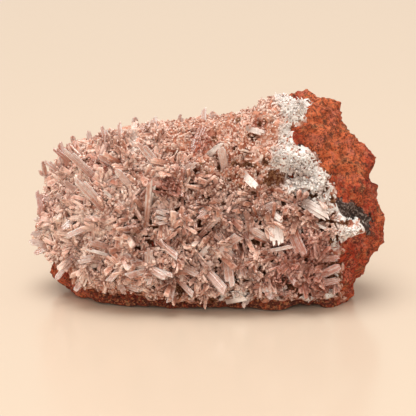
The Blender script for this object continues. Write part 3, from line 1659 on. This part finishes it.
LARGE_PINK = (
    (-38.5, 9.0, -49.2, 19.8, 2.6, 18), (-36.5, -0.5, -45.3, 9.5, 3.3, 20),
    (-40.8, -6.4, -49.2, -10.3, 1.9, 24), (-45.4, -2.3, -50.9, -8.0, 2.1, 24),
    (-41.3, -13.0, -32.0, -16.9, 3.5, 22), (-38.4, -10.0, -28.8, -12.5, 2.2, 26),
    (-37.7, -17.6, -45.0, -18.9, 2.3, 26), (-49.5, -20.3, -53.2, -25.5, 1.8, 20),
    (-35.9, -3.9, -43.1, -4.6, 2.5, 20), (-21.4, -5.0, -20.1, 8.2, 1.9, 28),
    (-30.2, -1.4, -23.5, 2.8, 2.8, 22), (-8.5, -3.9, -12.8, -7.8, 2.0, 26),
    (-6.4, -3.2, -11.7, -3.0, 2.1, 30), (-20.3, -21.7, -20.6, -14.9, 2.8, 26),
    (-20.6, -22.0, -27.8, -24.4, 2.2, 22), (-20.8, -21.4, -26.5, -18.9, 2.5, 22),
    (-20.2, -22.4, -21.0, -27.2, 2.6, 24), (-19.8, -21.9, -14.6, -24.7, 2.9, 28),
    (-8.5, -21.0, -3.2, -23.5, 2.8, 24), (-0.4, -22.1, 6.2, -29.4, 3.2, 22),
    (-4.3, -18.9, 0.7, -14.2, 1.9, 26), (7.1, -17.8, 8.2, -27.8, 3.2, 18),
    (9.3, -17.8, 5.0, -14.2, 2.8, 24), (11.7, -17.4, 13.5, -24.6, 2.6, 24),
    (18.1, -16.4, 29.5, -13.9, 1.3, 16), (31.0, -10.7, 33.5, -17.1, 4.2, 22),
    (40.9, -18.4, 46.3, -18.1, 2.1, 28), (39.1, -24.6, 46.6, -21.0, 2.8, 24),
    (38.8, -27.4, 46.6, -25.6, 2.2, 20), (28.5, -23.1, 31.0, -26.7, 1.7, 26),
    (37.6, -10.9, 38.4, -17.4, 1.2, 20), (-33.5, -14.8, -41.0, -12.0, 2.0, 26),
    (6.4, 13.5, 5.0, 20.6, 2.8, 24), (-2.9, 25.3, -5.0, 19.9, 2.8, 22),
    (-1.1, 30.0, -1.1, 34.6, 2.2, 16), (2.5, 29.6, 2.1, 33.8, 2.2, 16),
    (-34.9, 21.7, -36.8, 28.5, 2.4, 14), (-24.9, 26.0, -25.5, 31.5, 2.5, 8),
    (-25.6, 21.5, -26.2, 26.9, 1.7, 26), (-17.8, 26.3, -19.2, 31.0, 3.7, 16),
    (-16.4, 13.5, -23.5, 22.1, 2.9, 20), (-58.7, -0.7, -59.8, 5.7, 2.2, 4),
    (-56.2, 8.2, -57.7, 16.0, 1.9, 4), (-58.4, -13.2, -63.0, -12.1, 2.2, 2),
    (-50.5, 17.8, -52.3, 22.4, 2.2, 12), (-11.0, 5.7, -8.9, 3.9, 2.0, 34),
    (-17.8, -1.1, -13.5, -2.1, 1.4, 30), (-44.1, -26.3, -46.6, -29.5, 1.9, 22),
    (-31.3, -26.7, -28.8, -30.6, 2.0, 22), (-12.1, -28.6, -13.2, -33.4, 2.0, 20),
    (18.1, -28.5, 24.2, -30.3, 2.1, 22), (2.1, 1.4, -3.2, -3.6, 2.4, 26),
    (-26.3, 6.4, -31.7, 12.8, 2.4, 26), (-9.6, 11.4, -4.3, 15.3, 2.4, 28),
    (-32.4, -16.0, -26.7, -18.1, 2.2, 22), (-19.6, -22.4, -12.5, -24.6, 2.6, 24),
    (-35.9, 7.5, -31.0, 10.7, 2.2, 24), (-13.9, -3.2, -17.8, -1.4, 1.1, 26),
    (-13.9, -4.3, -18.1, -3.6, 1.2, 28), (-13.9, -5.3, -17.4, -6.0, 1.1, 26),
    (-1.4, -21.7, 2.1, -20.3, 3.0, 30), (7.5, -13.9, 3.2, -9.6, 2.2, 26),
    (-23.8, -6.8, -29.5, -8.2, 2.2, 24), (-49.5, 2.5, -53.7, 4.3, 1.8, 18),
    (5.3, -14.6, 11.0, -10.3, 3.2, 24), (18.1, -1.8, 23.8, 0.7, 2.6, 22),
    (-1.1, -8.9, 5.3, -2.5, 1.8, 22), (24.2, -28.8, 21.7, -32.2, 2.8, 28),
    (-44.5, 4.5, -50.5, 9.0, 2.0, 20), (-30.0, -21.0, -34.5, -26.0, 2.0, 24),
    (-46.0, -9.0, -40.5, -5.0, 2.1, 24), (-26.0, -1.5, -31.0, 2.0, 2.0, 24),
    (-33.0, 15.0, -38.0, 18.0, 2.1, 22), (-47.0, 12.0, -44.0, 18.0, 2.0, 20),
    (-15.0, -14.0, -10.5, -17.5, 2.2, 26), (-28.0, -28.0, -23.0, -29.5, 2.0, 22),
    (14.0, -21.5, 18.0, -26.0, 2.6, 24), (21.0, -11.0, 16.0, -8.0, 2.4, 26),
    (34.0, -21.0, 28.5, -19.0, 2.3, 26), (-8.0, -28.0, -5.0, -31.0, 1.9, 24),
    (-56.5, 2.5, -60.6, 4.2, 2.0, 4), (-56.0, -5.0, -61.6, -4.2, 1.9, 4),
    (-56.5, -14.5, -61.0, -16.5, 1.9, 4), (-56.0, -9.0, -62.6, -9.8, 2.1, 4),
    (-55.0, 10.5, -59.0, 12.2, 1.9, 6), (-53.5, 13.5, -57.2, 16.4, 2.0, 6),
    (-51.0, 18.0, -54.2, 20.8, 1.9, 8), (-46.0, 20.5, -47.6, 25.0, 1.9, 10),
    (-41.0, 22.5, -42.2, 27.0, 1.8, 10), (-30.5, 24.5, -31.2, 29.4, 2.0, 10),
    (-10.0, 27.5, -9.0, 32.6, 2.0, 12),
)
LARGE_WHITE = (
    (22.0, -5.0, 23.3, -13.2, 1.5, 22), (23.7, -4.9, 25.0, -13.0, 1.5, 24),
    (25.3, -5.0, 26.4, -12.4, 1.4, 22), (35.0, 2.6, 42.6, -2.0, 1.2, 22),
    (34.6, 1.3, 42.4, -3.4, 1.3, 24), (34.4, 0.1, 41.2, -4.5, 1.1, 22),
    (38.8, -6.1, 42.7, -8.2, 0.9, 26), (23.1, -2.1, 26.3, -5.0, 1.9, 30),
    (0.7, 19.2, 4.0, 22.0, 0.8, 30), (1.7, 18.7, 5.2, 22.3, 0.9, 28),
    (16.7, 27.0, 19.9, 26.0, 1.8, 34), (13.2, 10.3, 16.9, 6.6, 1.4, 28),
    (14.2, 11.2, 17.7, 7.5, 1.2, 26), (-20.5, 2.5, -19.4, 7.5, 0.8, 26),
    (-19.6, 2.4, -18.4, 7.2, 0.7, 28), (-25.3, 26.3, -26.3, 21.5, 1.4, 24),
    (-33.0, -17.6, -41.8, -14.9, 1.0, 26), (2.8, 0.0, 4.0, -1.0, 1.0, 30),
    (-33.0, 3.0, -36.5, 5.6, 1.0, 28), (10.0, -33.0, 13.5, -32.2, 1.6, 24),
)


@dataclass(frozen=True)
class LargeBlades:
    """The blades that stand out, each at its own place on the layout plane.

    Each is root across, root up, tip across, tip up, width, and lean out of the face in
    degrees. They take the kinds of `order` in turn. `step` is a share of a full range, added
    from one blade to the next, so neighbours in the list differ. The `edge` numbers are for
    blades at the outline.
    """

    crust: CrustMap = CrustMap()
    root_height_mm: float = 2.7
    root_run_mm: float = 3.5
    broaden: float = 1.08
    edge_slope: float = 0.5
    edge_depth_mm: float = 13.0
    edge_lean_deg: float = 70.0
    edge_twist_deg: float = 80.0
    step: float = 0.618
    tint_least: float = 0.2
    tint_range: float = 0.4
    tint_pale_gain: float = 0.3
    pale_least: float = 0.1
    pale_range: float = 0.7
    order: tuple[BladeKind, ...] = (
        BladeKind.PAIR, BladeKind.PAIR, BladeKind.TONGUE, BladeKind.BUNDLE, BladeKind.CHISEL,
    )

    def build(self, name: str, lines: Sequence[tuple[float, ...]], white: float,
              material: Material) -> Piece:
        """Makes all the blades of one list.

        Args:
            name: The object's name.
            lines: The list.
            white: How white they are, from 0 to 1.
            material: Their material.

        Returns:
            The object.
        """
        rock = frame["nodes"][ROCK].data
        tree = BVHTree.FromPolygons(
            [v.co for v in rock.vertices], [p.vertices for p in rock.polygons]
        )
        blades = BladeMesh(Section.STRIATED)
        for number, line in enumerate(lines):
            own = (number * self.step) % 1
            place, size = self.stand(tree, line, own - 0.5)
            pale = self.zone_share(self.crust.pale, line)
            numbers = {
                "tint": self.tint_least + self.tint_range * own + self.tint_pale_gain * pale,
                "white": white,
                "red": self.zone_share(self.crust.red, line),
                "pale": self.pale_least + self.pale_range * pale,
            }
            for lath in self.order[number % len(self.order)].value:
                blades.add_lath(lath, place, size, numbers)
        mesh = blades.mesh(name)
        mesh.materials.append(material)
        return new_object(name, mesh)

    @staticmethod
    def zone_share(patch: Patch, line: tuple[float, ...]) -> float:
        """How much a blade belongs to a zone, from where it stands."""
        return float(patch.share(np.array([line[:2]]), np.zeros(1))[0])

    def stand(self, tree: BVHTree, line: tuple[float, ...],
              turn: float) -> tuple[Matrix, tuple[float, float]]:
        """Where a blade stands on the rock, or in the bed just beside it at the outline.

        Blades at the outline stand at different depths and turned different ways, so they
        don't line up when the specimen is seen from its end.

        Args:
            tree: The rock's faces.
            line: The blade's line.
            turn: The blade's own number, from -0.5 to 0.5.

        Returns:
            Its place, and its width and length.
        """
        u1, v1, u2, v2, width, lean = line
        plane = self.crust.plane
        aim = (plane.place(u1, v1) - plane.eye).normalized()
        hit, slope = tree.ray_cast(plane.eye, aim)[:2]
        twist = 0.0
        if hit is None or abs(slope.dot(plane.out)) < self.edge_slope:
            near = tree.find_nearest(plane.place(u1, v1))[0] if hit is None else hit
            depth = (near - plane.eye).dot(plane.out) / aim.dot(plane.out)
            hit = plane.eye + aim * (depth + turn * self.edge_depth_mm * MM)
            lean += turn * self.edge_lean_deg
            twist = math.radians(turn * self.edge_twist_deg)
        reach = math.hypot(u2 - u1, v2 - v1)
        rise = reach * math.tan(math.radians(lean))
        along = plane.across * (u2 - u1) + plane.up * (v2 - v1) + plane.out * rise
        along.normalize()
        root = hit + plane.out * self.root_height_mm * MM - along * self.root_run_mm * MM
        side = Quaternion(along, twist) @ along.cross(plane.out).normalized()
        facing = along.cross(side)
        place = Matrix((side, facing, along)).transposed().to_4x4()
        place.translation = root
        length = math.hypot(reach, rise) + self.root_run_mm
        return place, (self.broaden * width * MM, length * MM)


@dataclass(frozen=True)
class CrystalCrust:
    """The whole crust: its bed, the large blades and the sprays between them."""

    bed: CrustBed = CrustBed()
    pink: LargeBlades = LargeBlades()
    white: LargeBlades = LargeBlades(root_height_mm=3.4, broaden=1.15)
    whiteness: float = 0.8
    growths: tuple[Growth, ...] = (
        Growth(
            "pink_sprays", spacing=2.9, blades=4, length=(4.2, 8.2), width=(1.1, 2.4),
            tilt=(52, 82), fan=30, spread=1.3, sink=1.0, zone_share=(0.0, 0.5),
            kinds=(BladeKind.TONGUE, BladeKind.CHISEL, BladeKind.BLOCK, BladeKind.PAIR,
                   BladeKind.BUNDLE),
            seed=3, fine_cut=0.5, fine_thin=0.8,
        ),
        Growth(
            "small_pink_blades", spacing=2.1, blades=4, length=(2.0, 4.2), width=(0.7, 1.5),
            tilt=(36, 84), fan=60, spread=0.9, sink=0.9, zone_share=(0.0, 0.7),
            kinds=(BladeKind.TONGUE, BladeKind.CHISEL, BladeKind.BLOCK), seed=8,
            fine_cut=0.4, fine_thin=0.6,
        ),
        Growth(
            "sugar_grains", spacing=1.15, blades=2, length=(1.2, 2.5), width=(0.7, 1.4),
            tilt=(10, 82), fan=180, spread=0.5, sink=0.4, zone_share=(0.0, 1.0),
            kinds=(BladeKind.GRAIN,), seed=12, fine_cut=0.45, section=Section.SQUARE,
            finish=BladeLook.SUGAR,
        ),
        Growth(
            "white_sprays", spacing=0.9, blades=6, length=(0.9, 2.6), width=(0.22, 0.55),
            tilt=(40, 88), fan=60, spread=0.5, sink=0.6, zone_share=(0.35, 1.0),
            kinds=(BladeKind.ROD, BladeKind.GRAIN, BladeKind.GRAIN), seed=5,
            tint=(0.3, 1.0), section=Section.SQUARE, finish=BladeLook.WHITE,
        ),
    )

    def build(self) -> list[Piece]:
        """Makes the crust.

        Returns:
            Its pieces.
        """
        sheet = self.bed.surface()
        finishes = {look: look.value.material() for look in BladeLook}
        made = [
            self.bed.build(sheet),
            self.pink.build("large_pink_blades", LARGE_PINK, 0.0, finishes[BladeLook.LARGE]),
            self.white.build("large_white_blades", LARGE_WHITE, self.whiteness,
                             finishes[BladeLook.WHITE]),
        ]
        scatter = BladeScatter(self.bed.crust)
        for growth in self.growths:
            made.append(scatter.grow(sheet, growth, finishes[growth.finish]))
        bpy.data.meshes.remove(sheet)
        return made


# --- The studio ---


@dataclass(frozen=True)
class SoftLight:
    """A broad, even light from far away. The direction is from the specimen towards it."""

    name: str
    direction: tuple[float, float, float]
    spread_deg: float
    strength: float
    colour: Colour

    def build(self, target: Vector) -> None:
        """Makes the light.

        Args:
            target: What it points at.
        """
        lamp = bpy.data.lights.new(self.name, "SUN")
        lamp.angle, lamp.energy, lamp.color = (
            math.radians(self.spread_deg), self.strength, self.colour
        )
        thing = bpy.data.objects.new(self.name, lamp)
        aim = Vector(self.direction)
        thing.location = target + aim
        thing.rotation_euler = (-aim).to_track_quat("-Z", "Y").to_euler()
        bpy.context.scene.collection.objects.link(thing)


@dataclass(frozen=True)
class Studio:
    """The floor, the light and the camera."""

    plane: LayoutPlane = LayoutPlane()
    frame_width_mm: float = 148.0
    sensor_mm: float = 36.0
    aim_mm: tuple[float, float] = (0.36, -0.36)
    floor: PlainFinish = PlainFinish("studio_floor", srgb(214, 197, 178), 0.2, 0.6)
    sky: Colour = srgb(251, 235, 217)
    lights: tuple[SoftLight, ...] = (
        SoftLight("key_light", (-0.1, 0.0, 0.98), 44, 2.5, (1.0, 0.99, 0.98)),
        SoftLight("front_light", (-0.15, -0.9, 0.45), 60, 0.95, (1.0, 0.99, 0.98)),
    )
    sky_strength: float = 0.67
    floor_reach_m: float = 6.0
    clip_m: tuple[float, float] = (0.01, 20.0)

    def build(self) -> None:
        """Makes the floor, the light and the camera."""
        self.build_floor()
        self.build_sky()
        for light in self.lights:
            light.build(self.plane.centre)
        self.build_camera()

    def build_floor(self) -> None:
        """Makes the floor: a wide plain sheet."""
        reach = self.floor_reach_m
        corners = [(-reach, -reach, 0), (reach, -reach, 0), (reach, reach, 0), (-reach, reach, 0)]
        mesh = bpy.data.meshes.new("studio_floor")
        mesh.from_pydata(corners, [], [(0, 1, 2, 3)])
        mesh.materials.append(self.floor.material())
        new_object("studio_floor", mesh)

    def build_sky(self) -> None:
        """Makes the even light from all round."""
        world = bpy.data.worlds.new("soft_sky")
        world.use_nodes = True
        shade = world.node_tree.nodes["Background"]
        shade.inputs["Color"].default_value = (*self.sky, 1)
        shade.inputs["Strength"].default_value = self.sky_strength
        bpy.context.scene.world = world
        bpy.context.scene.view_settings.view_transform = "Standard"

    def build_camera(self) -> None:
        """Makes the camera, on the layout plane's own line of sight."""
        lens = bpy.data.cameras.new("camera")
        lens.sensor_width = self.sensor_mm
        lens.lens = self.sensor_mm * self.plane.eye_mm / self.frame_width_mm
        lens.clip_start, lens.clip_end = self.clip_m
        thing = bpy.data.objects.new("camera", lens)
        right, up = self.aim_mm
        thing.location = self.plane.eye + (self.plane.across * right + self.plane.up * up) * MM
        thing.rotation_euler = (-self.plane.out).to_track_quat("-Z", "Y").to_euler()
        bpy.context.scene.collection.objects.link(thing)
        bpy.context.scene.camera = thing


def main() -> None:
    """Builds the specimen and its studio."""
    logging.basicConfig(level=logging.INFO, format="%(message)s")
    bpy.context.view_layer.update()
    rock = RockLump().build()
    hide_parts(ROCK)
    crust = CrystalCrust().build()
    for piece in crust:
        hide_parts(CRUST)
    for piece in (rock, *crust):
        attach(piece, BODY)
        piece.data.calc_loop_triangles()
        log.info("%s: %d triangles", piece.name, len(piece.data.loop_triangles))
    Studio().build()


if __name__ == "__main__":
    main()
